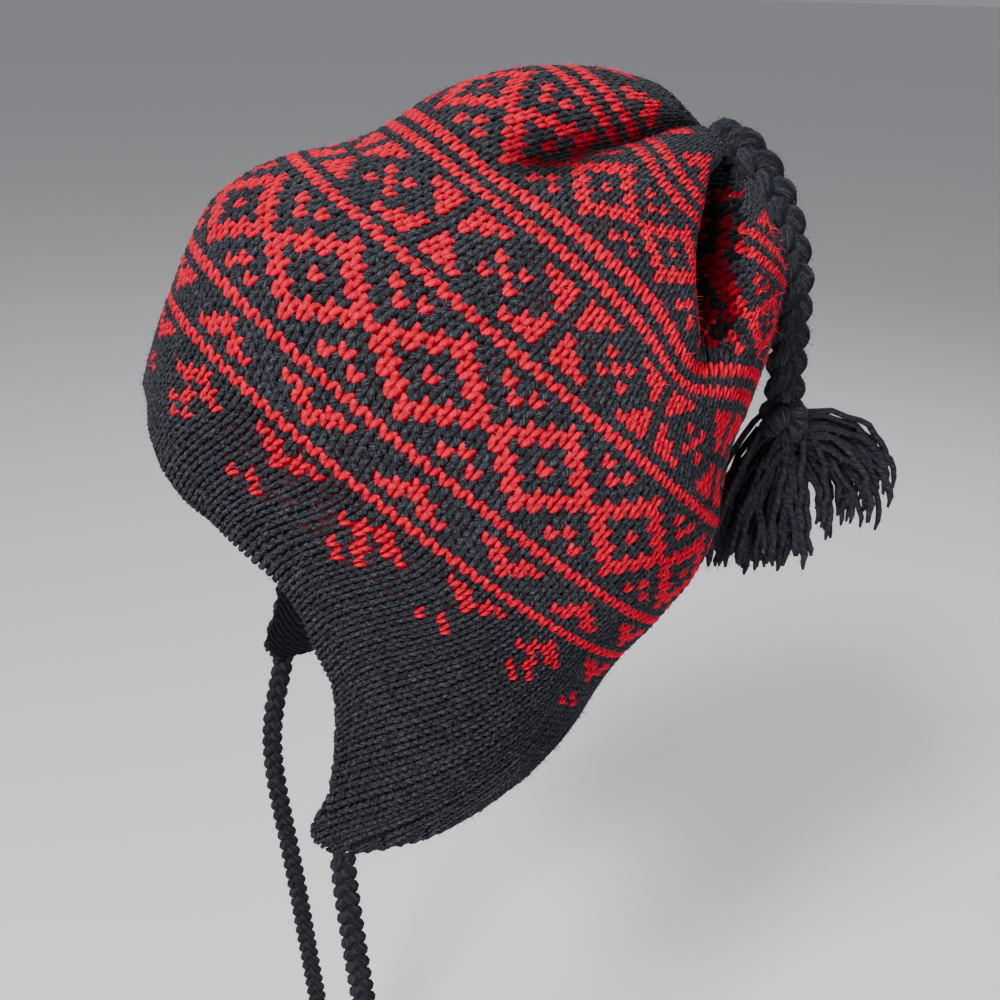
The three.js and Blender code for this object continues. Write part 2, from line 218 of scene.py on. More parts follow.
def region(wale, middle):
    return np.exp(-((turn(wale, middle) / REGION_SPREAD) ** 2))


def fold_share(wale, row):
    """How deep the gathers sink at a point, as a share of the radius."""
    fold = 0
    drifted = np.clip(row, DRIFT_FROM_ROW, FOLD_FULL_ROW) - DRIFT_FROM_ROW
    for angle, share, spread, start, drift in FOLDS:
        away = turn(wale, angle - drift * drifted) / spread
        across = np.exp(-(np.abs(away) ** FOLD_SHARPNESS))
        fold = fold + share * across * ramp(row, start, FOLD_FULL_ROW)
    return fold


def fold_shade(wale, row):
    """How far a point lies in the shade of a gather, 0 to 1: how much shade is painted there."""
    drifted = np.clip(row, DRIFT_FROM_ROW, FOLD_FULL_ROW) - DRIFT_FROM_ROW
    shade = 0
    for angle, share, spread, start, drift in FOLDS:
        away = turn(wale, angle - drift * drifted + SHADE_TURN * share) / spread
        across = np.exp(-(np.abs(away) ** FOLD_SHARPNESS))
        risen = ramp(row, start + SHADE_FROM, start + SHADE_FULL)
        shade = np.maximum(shade, across * risen * share / DEEPEST_FOLD)
    return ramp(shade, *FOLD_SHADE)


def crown_point(wale, row):
    wale, row = np.broadcast_arrays(np.asarray(wale, float), np.asarray(row, float))
    at_row = [smooth_curve(CROWN[:, 0], CROWN[:, k], row) for k in range(1, 7)]
    depth, width, height, back, near, rear = at_row
    fold = fold_share(wale, row)
    t = np.radians(wale)
    around = t + OVAL_SHIFT * np.sin(2 * t)
    up = height + near * region(wale, NEAR_ANGLE) + rear * region(wale, REAR_ANGLE)
    return (
        (depth * np.cos(around) * (1 - fold) - back)[..., None] * FRONT
        + (width * np.sin(around) * (1 - fold))[..., None] * LEFT
        + (up - FOLD_DROP * fold * depth)[..., None] * AXIS
    )


def rim_point(wale):
    side = turn(wale, 0)
    along = np.abs(side)
    x, y, z = (smooth_curve(RIM[:, 0], RIM[:, k], along) for k in (1, 2, 3))
    return np.stack([np.sign(side) * x, y, z], -1)


def round_head(point):
    forward = HEAD_MIDDLE_Y - point[..., 1]
    aside = np.abs(point[..., 0])
    return np.stack([np.arctan2(aside, forward), np.hypot(aside, forward), point[..., 2]], -1)


def border_depth(wale):
    return np.linalg.norm(crown_point(wale, LOWEST_LINE_ROW) - rim_point(wale), axis=-1)


def border_point(wale, share):
    """Between the lowest red line (share 0) and the lower edge (share 1)."""
    top = crown_point(wale, LOWEST_LINE_ROW)
    edge = rim_point(wale)
    length = np.linalg.norm(top - edge, axis=-1)[..., None]
    down = top - crown_point(wale, LOWEST_LINE_ROW + 1)
    down = down / np.linalg.norm(down, axis=-1)[..., None]
    upper = top + down * length * BORDER_UPPER_PULL
    upright = (1 - ramp(np.abs(turn(wale, 0)), FLAP_FROM, FLAP_TO))[..., None]
    pull = (top - edge) * BORDER_LOWER_PULL
    lower = edge + pull + np.array([0, 0, BORDER_LOWER_PULL]) * length * upright
    a, b, c, d = map(round_head, (top, upper, lower, edge))
    s = np.asarray(share, float)[..., None]
    m = (1 - s) ** 3 * a + 3 * (1 - s) ** 2 * s * b + 3 * (1 - s) * s * s * c + s ** 3 * d
    side = np.where(turn(wale, 0) < 0, -1, 1)
    angle, distance, z = m[..., 0], m[..., 1], m[..., 2]
    return np.stack([side * distance * np.sin(angle), HEAD_MIDDLE_Y - distance * np.cos(angle), z], -1)


# Knitting laid on that surface: column and row of a stitch to a point

def slack_table():
    """Surface row where each knitted row lies, for wales one column apart: rows keep their pitch."""
    wales = np.arange(0, 361, 360 / COLUMNS)
    rows = np.arange(EVEN_FROM_ROW, EVEN_TO_ROW + 0.01, 0.25)
    grid = crown_point(wales[:, None], rows[None, :])
    steps = np.linalg.norm(np.diff(grid, axis=1), axis=-1)
    arc = np.concatenate([np.zeros((len(wales), 1)), steps.cumsum(1)], 1)
    knitted = np.arange(EVEN_FROM_ROW, EVEN_TO_ROW)
    even = np.array([np.interp(ROW_PITCH * (knitted - EVEN_FROM_ROW), a, rows) for a in arc])
    lift = EVEN_SHARE * (even - knitted)
    fade = EVEN_FADE_ROW - EVEN_FROM_ROW
    at_line = lift[:, [fade]]
    lift[:, fade:] = at_line * (1 - ramp(knitted[fade:], EVEN_FADE_ROW, FOLD_FULL_ROW))
    return lift


SLACK = slack_table()


def surface_row(wale, row):
    w = np.mod(wale, 360) / (360 / COLUMNS)
    r = np.clip(row - EVEN_FROM_ROW, 0, SLACK.shape[1] - 1.001)
    i, j = np.floor(w).astype(int) % COLUMNS, np.floor(r).astype(int)
    u, v = w - np.floor(w), r - j
    lift = (
        (1 - u) * (1 - v) * SLACK[i, j] + u * (1 - v) * SLACK[i + 1, j]
        + (1 - u) * v * SLACK[i, j + 1] + u * v * SLACK[i + 1, j + 1]
    )
    dip = NEAR_DIP * np.exp(-((turn(wale, NEAR_DIP_WALE) / NEAR_DIP_SPREAD) ** 2))
    dip = dip * ramp(row, *NEAR_DIP_ROWS[:2]) * (1 - ramp(row, *NEAR_DIP_ROWS[2:]))
    shift = sum(rows * np.exp(-((turn(wale, at) / spread) ** 2)) for at, spread, rows in ROW_SHIFTS)
    shift = shift * ramp(row, *SHIFT_ROWS[:2]) * (1 - ramp(row, *SHIFT_ROWS[2:]))
    return row + np.where(row > EVEN_FROM_ROW, lift, 0) - dip + shift


def lean(row):
    """Columns that the wales lean to the front at a row."""
    return np.interp(row, *LEAN.T)


def knit_point(column, row):
    column, row = np.broadcast_arrays(np.asarray(column, float), np.asarray(row, float))
    wale = DIAMOND_WALE + (column - lean(row)) * 360 / COLUMNS
    upper = crown_point(wale, surface_row(wale, np.maximum(row, LOWEST_LINE_ROW)))
    run = (LOWEST_LINE_ROW - row) * BORDER_PITCH
    depth = border_depth(wale) * BORDER_SLACK
    share = np.clip(run / depth, 0, 1)
    lower = border_point(wale, share)
    point = np.where((row >= LOWEST_LINE_ROW)[..., None], upper, lower)
    past = np.clip(run - depth, 0, None)
    if (past > 0).any():
        edge = border_point(wale, np.ones_like(wale))
        before = border_point(wale, np.full_like(wale, 0.96))
        beside = border_point(wale + 1.0, np.ones_like(wale))
        down = edge - before
        down /= np.linalg.norm(down, axis=-1)[..., None]
        out = np.cross(beside - edge, -down)
        out /= np.linalg.norm(out, axis=-1)[..., None]
        bend = np.minimum(past / HEM_RADIUS, HEM_LAST_BEND)[..., None]
        beyond = np.clip(past - HEM_RADIUS * HEM_LAST_BEND, 0, None)[..., None]
        folded = edge + HEM_RADIUS * (np.sin(bend) * down - (1 - np.cos(bend)) * out)
        folded = folded + beyond * (np.cos(bend) * down - np.sin(bend) * out)
        point = np.where((past > 0)[..., None], folded, point)
    return point


def knit_frame(column, row, step=0.5):
    """Place, way across a column, way up a row and outward normal of stitches."""
    across = (knit_point(column + step, row) - knit_point(column - step, row)) / (2 * step)
    up = (knit_point(column, row + step) - knit_point(column, row - step)) / (2 * step)
    out = np.cross(across, up)
    out /= np.linalg.norm(out, axis=-1)[..., None]
    return knit_point(column, row), across, up, out


# The chart, an X for a red stitch: first column, and the motif of each row from there
LINES = (-12, -6, 6, 16, 18, 30, 32)
DIAMOND = {
    4: "X..X.X..", 3: "XX..X..X", 2: ".XX...XX", 1: "..XX.XX.", 0: "X..XXX..",
    -1: "..XX.XX.", -2: ".XX...XX", -3: "XX..X..X", -4: "X..X.X..",
}
LEAF = {
    3: ".XXX...XXX", 2: ".XX.....XX", 1: ".X..X.X..X", 0: ".....X....",
    -1: ".X..X.X..X", -2: ".XX.....XX", -3: ".XXX...XXX",
}
CHEVRON = {1: "X....XX.XX....", 0: "XX....XXX....X", -1: ".XX....X....XX"}
BLOSSOM = {
    0: "X....XX.XX....", -1: "XX....XXX....X", -2: ".XX....X....XX", -3: "X.............",
    -4: "X.............", -5: ".X.....X.....X", -6: "X.....X.X.....",
}
BANDS = [
    (DIAMOND, 0, 0),
    (LEAF, 11, 3),
    (DIAMOND, 24, -1),
    (CHEVRON, -9, 3),
    (BLOSSOM, -14, 3),
    (CHEVRON, 35, 3),
]


def is_red(column, row):
    if row in LINES:
        return True
    for motif, middle, first in BANDS:
        if row - middle in motif:
            line = motif[row - middle]
            return line[(column - first) % len(line)] == "X"
    return False


# Meshes

def new_mesh_object(name, vertices, faces, lay=None, painted_shade=None):
    mesh = bpy.data.meshes.new(name)
    vertices = np.asarray(vertices, np.float32)
    faces = np.asarray(faces, np.int32)
    sides = faces.shape[1]
    mesh.vertices.add(len(vertices))
    mesh.vertices.foreach_set("co", (vertices * MM).ravel())
    mesh.loops.add(faces.size)
    mesh.loops.foreach_set("vertex_index", faces.ravel())
    mesh.polygons.add(len(faces))
    mesh.polygons.foreach_set("loop_start", np.arange(0, faces.size, sides, dtype=np.int32))
    mesh.polygons.foreach_set("use_smooth", np.ones(len(faces), bool))
    mesh.update(calc_edges=True)
    if lay is not None:
        attribute = mesh.attributes.new("lay", "FLOAT_VECTOR", "POINT")
        attribute.data.foreach_set("vector", np.asarray(lay, np.float32).ravel())
    if painted_shade is not None:
        attribute = mesh.attributes.new("painted_shade", "FLOAT", "POINT")
        attribute.data.foreach_set("value", np.asarray(painted_shade, np.float32).ravel())
    obj = bpy.data.objects.new(name, mesh)
    bpy.context.collection.objects.link(obj)
    return obj


def leg_template():
    """One leg of a stitch as a rounded spindle: a sphere's vertices and faces, for placing."""
    bpy.ops.mesh.primitive_uv_sphere_add(segments=6, ring_count=4, radius=1)
    sphere = bpy.context.object
    bpy.ops.object.mode_set(mode="EDIT")
    bpy.ops.mesh.quads_convert_to_tris()
    bpy.ops.object.mode_set(mode="OBJECT")
    points = np.array([v.co[:] for v in sphere.data.vertices])
    faces = np.array(sorted(tuple(p.vertices) for p in sphere.data.polygons))
    bpy.data.objects.remove(sphere)
    return points, faces


LEG_POINTS, LEG_FACES = leg_template()
LEG_ALONG = (LEG_POINTS[:, 2] + 1) / 2
LEG_RING = np.sqrt(np.clip(1 - LEG_POINTS[:, 2] ** 2, 0, 1))
LEG_SIDEWAYS = np.where(LEG_RING > 0.01, LEG_POINTS[:, 0] / np.maximum(LEG_RING, 0.01), 0)
LEG_OUTWARD = np.where(LEG_RING > 0.01, LEG_POINTS[:, 1] / np.maximum(LEG_RING, 0.01), 0)


def leg_column(k):
    return np.interp(LEG_ALONG, LEG[:, 0], LEG[:, k])


def near_hem(columns, rows):
    wales = DIAMOND_WALE + columns * 360 / COLUMNS
    left = border_depth(wales) * BORDER_SLACK - (LOWEST_LINE_ROW - rows) * BORDER_PITCH
    return left < HEM_ROWS * BORDER_PITCH


def stitch_legs(stitches, rng):
    """Vertices, faces, lay and painted shade of the two legs of each stitch."""
    n = len(stitches)
    columns, rows, width = stitches[:, 0], stitches[:, 1], stitches[:, 2:3]
    place, across, up, out = knit_frame(columns, rows)
    skew = (across * up).sum(-1) / (up * up).sum(-1)
    across = across - skew[:, None] * up
    thick = np.linalg.norm(across, axis=-1)[:, None] * width / STITCH_WIDTH
    thick = np.clip(thick, THINNEST_LEG, THICKEST_LEG)
    hem = near_hem(columns, rows)
    flatter = np.where(hem, HEM_RELIEF, np.where(rows < LOWEST_LINE_ROW, BORDER_RELIEF, 1))[:, None]
    s = LEG_ALONG[None, :]
    slim = np.where(rows < LOWEST_LINE_ROW, BORDER_SLIMNESS, 1)[:, None]
    even = slim ** 4  # the border's legs differ less
    swell, tall, rise = leg_column(1) * slim, leg_column(2), leg_column(3)
    all_points, all_faces, all_lay = [], [], []
    for side in (-1, 1):
        wobble = rng.normal(0, LEG_WOBBLE, (n, 1))
        reach = 1 + rng.normal(0, LEG_REACH_SPREAD, (n, 1))
        plump = 1 + rng.normal(0, LEG_PLUMP_SPREAD, (n, 1)) * even
        middle = side * (LEG_FOOT_ASIDE + LEG_EAR_ASIDE * s ** LEG_CURVE)
        a = (middle + wobble + swell * LEG_SIDEWAYS * plump) * width
        b = (LEG_FOOT + (LEG_EAR - LEG_FOOT) * s) * reach + rng.normal(0, LEG_WOBBLE, (n, 1))
        w = (rise + tall * LEG_OUTWARD * plump) * thick * flatter
        w = w + rng.normal(0, LEG_HEIGHT_SPREAD, (n, 1)) * even - STITCH_SINK
        points = (
            place[:, None, :] + a[..., None] * across[:, None, :]
            + b[..., None] * up[:, None, :] + w[..., None] * out[:, None, :]
        )
        around, _, _, normal = knit_frame(
            columns[hem, None] + a[hem], rows[hem, None] + b[hem] - a[hem] * skew[hem, None], 0.3)
        points[hem] = around + w[hem][..., None] * normal
        angle = np.arctan2(LEG_SIDEWAYS, LEG_OUTWARD) / (2 * math.pi)
        lay = np.stack(np.broadcast_arrays(side * angle[None, :], s, rng.random((n, 1))), -1)
        base = len(LEG_POINTS) * (np.arange(n) + (0 if side < 0 else n))
        all_points.append(points.reshape(-1, 3))
        all_faces.append((LEG_FACES[None, :, :] + base[:, None, None]).reshape(-1, 3))
        all_lay.append(lay.reshape(-1, 3))
    wales = DIAMOND_WALE + (columns - lean(rows)) * 360 / COLUMNS
    # Painted shade: the yarn's colour is darkened deep in the gathers, and below on each leg's sides
    painted_shade = fold_shade(wales, surface_row(wales, rows))
    # Painted shade on each leg's sides, darkest where its surface turns away into the fabric
    shaded = LEG_SHADE * (1 - np.clip(LEG_OUTWARD, 0, LEG_OUTWARD.max()) / LEG_OUTWARD.max())
    painted_shade = np.tile((1 - (1 - painted_shade[:, None]) * (1 - shaded[None, :])).ravel(), 2)
    return np.concatenate(all_points), np.concatenate(all_faces), np.concatenate(all_lay), painted_shade


def stitch_list():
    """Every stitch as (column, row, width, red), fewer and wider ones where the crown is gathered."""
    stitches = []
    for k in range(COLUMNS):
        column = FIRST_COLUMN + k
        for row in range(LOWEST_LINE_ROW, LAST_STITCH_ROW):
            stride = 1 if row < PAIR_FROM_ROW else 2 if row < FOUR_FROM_ROW else 4
            if k % stride == 0:
                stitches.append((column, row, stride, is_red(column, row)))
        wales = DIAMOND_WALE + (column + np.array([-0.5, 0, 0.5])) * 360 / COLUMNS
        depth = float(border_depth(wales).max()) * BORDER_SLACK + HEM_RADIUS * HEM_TURN
        for j in range(1, int(depth / BORDER_PITCH) + 1):
            row = LOWEST_LINE_ROW - j
            stitches.append((column, row, 1, is_red(column, row)))
    stitches = np.array(stitches, float)
    wales = DIAMOND_WALE + stitches[:, 0] * 360 / COLUMNS
    hem_rows = LOWEST_LINE_ROW - border_depth(wales) * BORDER_SLACK / BORDER_PITCH
    _, across, up, _ = knit_frame(stitches[:, 0], np.maximum(stitches[:, 1], hem_rows))
    wide = np.linalg.norm(np.cross(across, up), axis=-1) / np.linalg.norm(up, axis=-1)
    slant = np.abs((across * up).sum(-1)) / (up * up).sum(-1)
    slant = slant * near_hem(stitches[:, 0], stitches[:, 1])
    plain = stitches[:, 1] < LOWEST_PATTERN_ROW
    parts = np.maximum(wide / STITCH_WIDTH, slant / HEM_SLANT)
    shares = np.where(plain, np.clip(np.round(parts), 1, MOST_PARTS), 1).astype(int)
    spread = [stitches[shares == 1]]
    for count in range(2, MOST_PARTS + 1):
        for k in range(count):
            part = stitches[shares == count].copy()
            part[:, 0] += (k + 0.5) / count - 0.5
            part[:, 2] = 1 / count
            spread.append(part)
    spread = np.concatenate(spread)
    wales = DIAMOND_WALE + spread[:, 0] * 360 / COLUMNS
    past = (LOWEST_LINE_ROW - spread[:, 1]) * BORDER_PITCH - border_depth(wales) * BORDER_SLACK
    return spread[past < HEM_RADIUS * HEM_TURN]


def knit_stitches():
    rng = np.random.default_rng(11)
    stitches = stitch_list()
    red = stitches[:, 3] > 0
    low = stitches[:, 1] < LOWEST_LINE_ROW
    mid = ~low & (stitches[:, 1] < 14)
    left = (stitches[:, 0] >= -19) & (stitches[:, 0] < 37)
    groups = {
        "pattern_stitches": red,
        "crown_stitches_low": ~red & mid,
        "crown_stitches_high": ~red & ~mid & ~low,
        "border_stitches_left": ~red & low & left,
        "border_stitches_right": ~red & low & ~left,
    }
    return {
        name: new_mesh_object(name, *stitch_legs(stitches[chosen], rng))
        for name, chosen in groups.items()
    }


def fibres(obj, picks, reach, lift, rng):
    """Vertices, faces and lay of fine flat fibres that leave a mesh at picked vertices and curl."""
    mesh = obj.data
    points = np.empty(len(mesh.vertices) * 3, np.float32)
    normals = np.empty(len(mesh.vertices) * 3, np.float32)
    mesh.vertices.foreach_get("co", points)
    mesh.vertex_normals.foreach_get("vector", normals)
    root = points.reshape(-1, 3)[picks] / MM
    out = normals.reshape(-1, 3)[picks]
    n = len(picks)
    along = rng.normal(0, 1, (n, 3))
    along -= (along * out).sum(1)[:, None] * out
    along /= np.linalg.norm(along, axis=1)[:, None]
    beside = np.cross(out, along)
    length = rng.uniform(0.35, 1, (n, 1)) * reach
    curl = rng.normal(0, 0.4, (n, 1))
    rise = rng.uniform(0.1, 1, (n, 1)) ** 2 * lift
    rings = []
    for s, rising in ((0, -0.1), (0.5, 1)):
        middle = root + along * length * s + beside * length * curl * s * s + out * rise * rising
        aside = (beside - along * 2 * curl * s) * FIBRE_WIDTH / 2
        rings += [middle - aside, middle + aside]
    rings.append(root + along * length + beside * length * curl + out * rise * 0.8)
    vertices = np.stack(rings, 1)
    strip = np.array([(0, 1, 3), (0, 3, 2), (2, 3, 4)])
    faces = strip[None, :, :] + 5 * np.arange(n)[:, None, None]
    lay = np.zeros((n, 5, 3))
    lay[:, :, 2] = rng.random((n, 1))
    return vertices.reshape(-1, 3), faces.reshape(-1, 3), lay.reshape(-1, 3)


def leg_tops(obj, count, rng):
    """Random vertices on the outer side of an object's stitch legs, none where shade is painted."""
    legs = len(obj.data.vertices) // len(LEG_POINTS)
    tops = np.flatnonzero(LEG_OUTWARD > 0.3)
    picks = rng.integers(0, legs, count) * len(LEG_POINTS) + rng.choice(tops, count)
    painted_shade = np.empty(len(obj.data.vertices), np.float32)
    obj.data.attributes["painted_shade"].data.foreach_get("value", painted_shade)
    return picks[painted_shade[picks] < LEG_SHADE]


# The wall that carries the stitches: dark ground outside, the back of the knitting inside

GROUND_DROP = 1.5  # the ground lies this far below the part's outside, under the stitches
GROUND_STEPS = 168
BORDER_RINGS = 33
LAST_RING_ROW = 49
UPRIGHT_ROWS = (36, 45)  # between these the way out of the wall turns to the crown's axis
HEM_RING_ANGLES = (50, 90, 130)


def wall_normals(rings):
    """Outward normals of a stack of rings of points."""
    across = np.roll(rings, -1, 1) - np.roll(rings, 1, 1)
    up = np.gradient(rings, axis=0)
    out = np.cross(across, up)
    return out / np.maximum(np.linalg.norm(out, axis=-1)[..., None], 1e-9)


def knit_wall():
    columns = FIRST_COLUMN + np.arange(GROUND_STEPS) * COLUMNS / GROUND_STEPS
    wales = DIAMOND_WALE + columns * 360 / COLUMNS
    rows = np.arange(LOWEST_LINE_ROW, LAST_RING_ROW + 0.01, 1.0)
    shares = np.linspace(1, 0, BORDER_RINGS + 1)[:-1]
    low = np.array([border_point(wales, np.full(GROUND_STEPS, s)) for s in shares])
    high = np.array([crown_point(wales, row) for row in rows])
    outer = np.concatenate([low, high])
    heights = np.concatenate([np.full(len(shares), float(LOWEST_LINE_ROW)), rows])
    out = wall_normals(outer)
    out[0] = out[1]
    blend = ramp(heights, *UPRIGHT_ROWS)[:, None, None]
    out = out * (1 - blend) + AXIS * blend
    out /= np.linalg.norm(out, axis=-1)[..., None]
    skin = outer - out * GROUND_DROP
    inside = outer - out * WALL
    down = outer[0] - outer[1]
    down /= np.linalg.norm(down, axis=-1)[..., None]
    half = (WALL - GROUND_DROP) / 2
    middle = outer[0] - out[0] * (GROUND_DROP + half)
    turns = np.radians(HEM_RING_ANGLES)
    hem = [middle + half * (math.cos(a) * out[0] + math.sin(a) * down) for a in turns]
    rings = np.concatenate([inside[::-1], np.array(hem)[::-1], skin])
    knitted = np.concatenate([heights[::-1], [LOWEST_LINE_ROW] * 3, heights])
    border = np.concatenate([np.zeros(len(rows)), shares[::-1], [1, 1, 1], shares, np.zeros(len(rows))])
    border_rows = border[:, None] * (border_depth(wales) * BORDER_SLACK / BORDER_PITCH)[None, :]
    row_of = knitted[:, None] - border_rows
    column_of = np.broadcast_to(columns, row_of.shape)
    inner = np.concatenate([np.ones(len(inside)), [0.6, 0.3, 0], np.zeros(len(skin))])
    lay = np.stack([column_of, row_of, np.broadcast_to(inner[:, None], row_of.shape)], -1)
    count = GROUND_STEPS
    quads = []
    for r in range(len(rings) - 1):
        a = r * count + np.arange(count)
        b = r * count + (np.arange(count) + 1) % count
        quads.append(np.stack([a, b, b + count, a + count], 1))
    quads = np.concatenate(quads)
    tris = np.concatenate([quads[:, [0, 1, 2]], quads[:, [0, 2, 3]]])
    points = rings.reshape(-1, 3)
    ends = np.array([inside[-1].mean(0), skin[-1].mean(0)])
    last = (len(rings) - 1) * count
    first_pole, last_pole = len(points), len(points) + 1
    a = np.arange(count)
    b = (a + 1) % count
    caps = np.concatenate([
        np.stack([np.full(count, first_pole), b, a], 1),
        np.stack([np.full(count, last_pole), last + a, last + b], 1),
    ])
    points = np.concatenate([points, ends])
    lay = np.concatenate([lay.reshape(-1, 3), [(0, 50, 1), (0, 50, 0)]])
    wall = new_mesh_object("knit_wall", points, np.concatenate([tris, caps]), lay)
    chart = [is_red(round(column), round(row)) for column, row, _ in lay]
    worn = wall.data.attributes.new("chart", "FLOAT", "POINT")
    worn.data.foreach_set("value", np.asarray(chart, np.float32))
    return wall


# Braids, knots and tassels

def route_points(route, spacing):
    """Even points, and their travelled length, on a smooth curve through the route."""
    route = np.asarray(route, float)
    padded = np.concatenate([[2 * route[0] - route[1]], route, [2 * route[-1] - route[-2]]])
    samples = []
    for i in range(len(route) - 1):
        p0, p1, p2, p3 = padded[i:i + 4]
        for u in np.arange(0, 1, 1 / 24):
            samples.append(0.5 * (
                2 * p1 + (p2 - p0) * u + (2 * p0 - 5 * p1 + 4 * p2 - p3) * u ** 2
                + (3 * p1 - p0 - 3 * p2 + p3) * u ** 3
            ))
    samples.append(route[-1])
    samples = np.array(samples)
    travelled = np.concatenate([[0], np.linalg.norm(np.diff(samples, axis=0), axis=1).cumsum()])
    count = max(int(round(travelled[-1] / spacing)), 2)
    at = np.linspace(0, travelled[-1], count + 1)
    return np.stack([np.interp(at, travelled, samples[:, k]) for k in range(3)], 1), at


def strand_mesh(centres, radius, sides, broad, plies=0, twist=0.0, flatten=1.0, seed=0.0, lay_scale=0.2):
    """A tube round given centres. radius may change along it; broad is its flat side's direction."""
    centres = np.asarray(centres, float)
    count = len(centres)
    radius = np.broadcast_to(np.asarray(radius, float), (count,))
    tangent = np.gradient(centres, axis=0)
    tangent /= np.maximum(np.linalg.norm(tangent, axis=1)[:, None], 1e-9)
    broad = np.broadcast_to(np.asarray(broad, float), (count, 3))
    side = broad - (broad * tangent).sum(1)[:, None] * tangent
    side /= np.maximum(np.linalg.norm(side, axis=1)[:, None], 1e-9)
    other = np.cross(tangent, side)
    travelled = np.concatenate([[0], np.linalg.norm(np.diff(centres, axis=0), axis=1).cumsum()])
    angle = np.arange(sides) / sides * 2 * math.pi
    lobes = 1.0
    if plies:
        turned = (plies / 2) * (angle[None, :] - twist * travelled[:, None])
        lobes = 1 + 0.13 * np.abs(np.sin(turned)) - 0.06
    reach = radius[:, None] * lobes * np.ones((count, sides))
    ring = (
        centres[:, None, :]
        + (reach * np.cos(angle) * flatten)[..., None] * side[:, None, :]
        + (reach * np.sin(angle))[..., None] * other[:, None, :]
    )
    lay = np.stack(np.broadcast_arrays(
        angle[None, :] / (2 * math.pi), travelled[:, None] * lay_scale, np.full((1, sides), seed)), -1)
    faces = []
    for r in range(count - 1):
        a = r * sides + np.arange(sides)
        b = r * sides + (np.arange(sides) + 1) % sides
        faces.append(np.stack([a, b, b + sides], 1))
        faces.append(np.stack([a, b + sides, a + sides], 1))
    points = np.concatenate([ring.reshape(-1, 3), [centres[0]], [centres[-1]]])
    a = np.arange(sides)
    b = (a + 1) % sides
    last = (count - 1) * sides
    faces.append(np.stack([np.full(sides, count * sides), b, a], 1))
    faces.append(np.stack([np.full(sides, count * sides + 1), last + a, last + b], 1))
    lay = np.concatenate([lay.reshape(-1, 3), [(0, 0, seed), (0, travelled[-1] * lay_scale, seed)]])
    return points, np.concatenate(faces), lay


def joined(name, meshes):
    points, faces, lay, shift = [], [], [], 0
    for p, f, l in meshes:
        points.append(p)
        faces.append(f + shift)
        lay.append(l)
        shift += len(p)
    return new_mesh_object(name, np.concatenate(points), np.concatenate(faces), np.concatenate(lay))


def braid(name, route, diameter, lobe, broad, sides, spacing):
    """Three plied strands plaited along a route; lobe is the distance between bulges on one edge."""
    centre, at = route_points(route, spacing)
    tangent = np.gradient(centre, axis=0)
    tangent /= np.linalg.norm(tangent, axis=1)[:, None]
    broad = np.asarray(broad, float)
    depth = broad - (tangent * broad).sum(1)[:, None] * tangent
    depth /= np.linalg.norm(depth, axis=1)[:, None]
    width = np.cross(tangent, depth)
    thick = diameter * 0.275
    swing = diameter / 2 - thick * 0.92
    dive = diameter * 0.165
    strands = []
    for k in range(3):
        phase = 2 * math.pi * (at / (3 * lobe) + k / 3)
        path = centre + (swing * np.sin(phase))[:, None] * width
        path = path + (dive * np.sin(2 * phase))[:, None] * depth
        taper = np.interp(at, (0, 2.0, at[-1] - 2.0, at[-1]), (0.8, 1, 1, 0.8))
        strands.append(strand_mesh(path, thick * taper, sides, depth, 4, 5.2 / diameter, 0.86, k * 0.31))
    return joined(name, strands)


def knot_strands(centre, size, thick, sides, tilt):
    """A tied knot: one strand wound over and under itself."""
    s = np.linspace(0, 2 * math.pi, 120)
    reach = size / 2 - thick
    points = np.stack([
        (0.62 + 0.38 * np.cos(3 * s)) * np.cos(2 * s) * reach,
        (0.62 + 0.38 * np.cos(3 * s)) * np.sin(2 * s) * reach,
        0.62 * np.sin(3 * s) * reach,
    ], 1)
    turned = np.array(Matrix.Rotation(tilt, 3, "X") @ Matrix.Rotation(0.6, 3, "Z"))
    points = points @ turned.T + centre
    away = points - centre
    return [strand_mesh(points, thick, sides, away, 4, 0.5, 1.0, 0.7)]


def hanging_strand(start, end, bow, drop, thick, rng, sides=6, steps=13):
    """A loose yarn from start to end: bow is how far its middle swings out, drop how steep it ends."""
    start, end, bow = (np.asarray(v, float) for v in (start, end, bow))
    first = start + (end - start) * 0.33 + bow
    second = end + np.array([0, 0, drop]) + bow * 0.35
    u = np.linspace(0, 1, steps)[:, None]
    path = (1 - u) ** 3 * start + 3 * (1 - u) ** 2 * u * first + 3 * (1 - u) * u * u * second + u ** 3 * end
    waves = rng.uniform(2.5, 4.5, 3) * 2 * math.pi * u + rng.uniform(0, 6.3, 3)
    curl = 0.7 * np.sin(waves) * np.sin(math.pi * u * 0.9)
    radius = thick / 2 * np.interp(u[:, 0], (0, 0.1, 0.9, 1), (0.8, 1, 1.05, 0.45))
    return strand_mesh(path + curl, radius, sides, (1, 0.2, 0.1), 0, 0, 1.0, rng.random())


# Locks of the tassel: where each ends, how its middle bows, how many yarns it holds
TASSEL_LOCKS = [
    (3, 85, -84, -6, 8), (15, 82, -88, -7, 9), (27, 87, -85, -6, 8), (9, 90, -92, -5, 9),
    (5, 97, -90, -2, 8), (16, 96, -93, -1, 9), (26, 99, -90, -2, 8), (11, 104, -94, 0, 9),
    (7, 110, -90, 1, 8), (20, 109, -94, 1, 9), (14, 117, -92, 2, 9), (25, 116, -88, 2, 8),
    (8, 124, -86, 4, 8), (20, 130, -82, 6, 8), (6, 137, -80, 8, 7), (16, 142, -78, 9, 8),
    (24, 147, -74, 10, 7), (10, 152, -73, 11, 7), (18, 157, -68, 13, 8), (12, 160, -64, 14, 7),
]
CROWN_KNOT = np.array([15, 105.5, -30.6])
LEFT_KNOT = np.array([67, -62.7, -410.4])
RIGHT_KNOT = np.array([-68.5, -69.8, -410.4])


